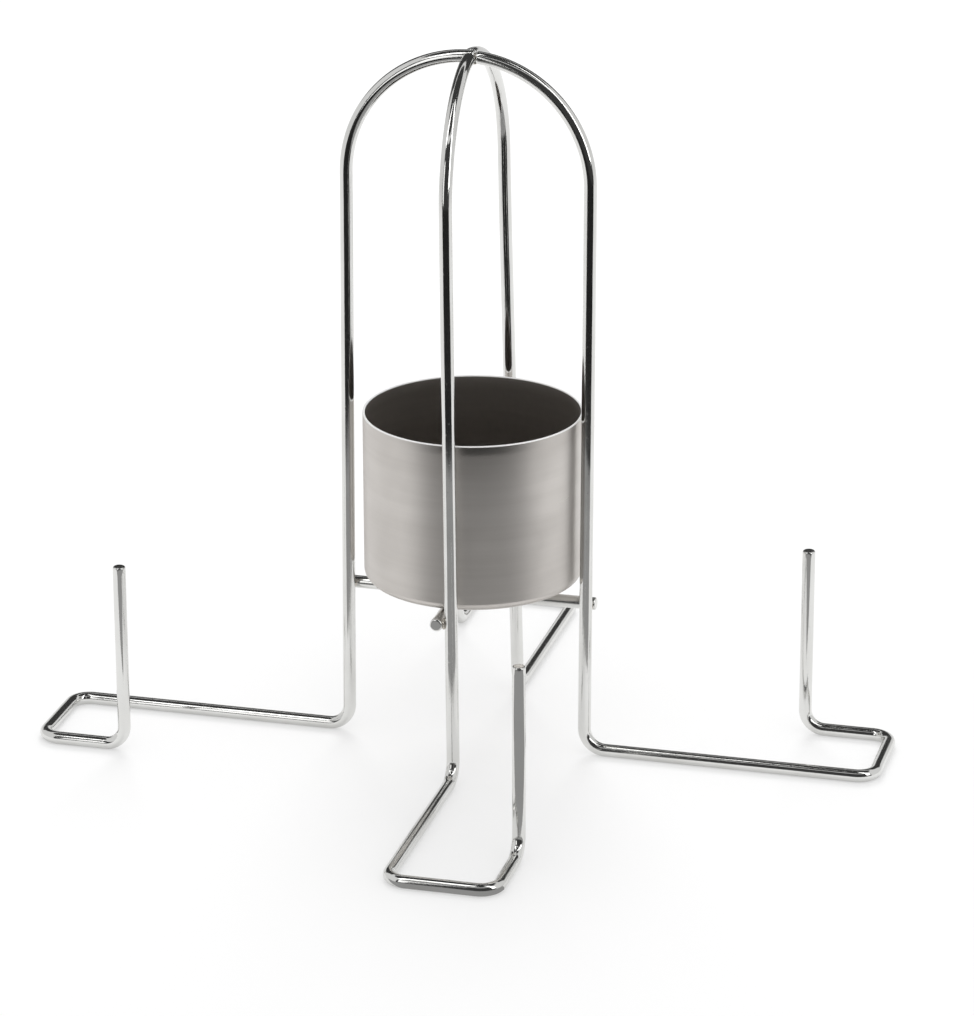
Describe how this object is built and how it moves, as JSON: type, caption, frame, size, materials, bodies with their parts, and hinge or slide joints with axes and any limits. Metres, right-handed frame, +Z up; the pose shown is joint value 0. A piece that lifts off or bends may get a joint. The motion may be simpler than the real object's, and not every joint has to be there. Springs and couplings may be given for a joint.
{
  "type": "vertical poultry roasting stand",
  "caption": "Upright wire roasting stand: a domed wire cage around an open steel cup, on wide looped feet that each end in an upright spike.",
  "frame": {"origin": "on the surface it stands on, under the middle of the wire cage", "axes": "+Z up through the cage to the dome; +X along the side feet to the right one; +Y towards the back foot"},
  "size_m": [0.2944, 0.2604, 0.249],
  "materials": {
    "polished_wire": "bright polished stainless wire",
    "satin_cup": "satin stainless steel, finely brushed round the cup"
  },
  "bodies": {
    "root": {"leg_right": "polished_wire", "leg_back": "polished_wire", "leg_left": "polished_wire", "leg_front": "polished_wire", "brace_side": "polished_wire", "brace_depth": "polished_wire", "cup": "satin_cup"}
  },
  "joints": []
}
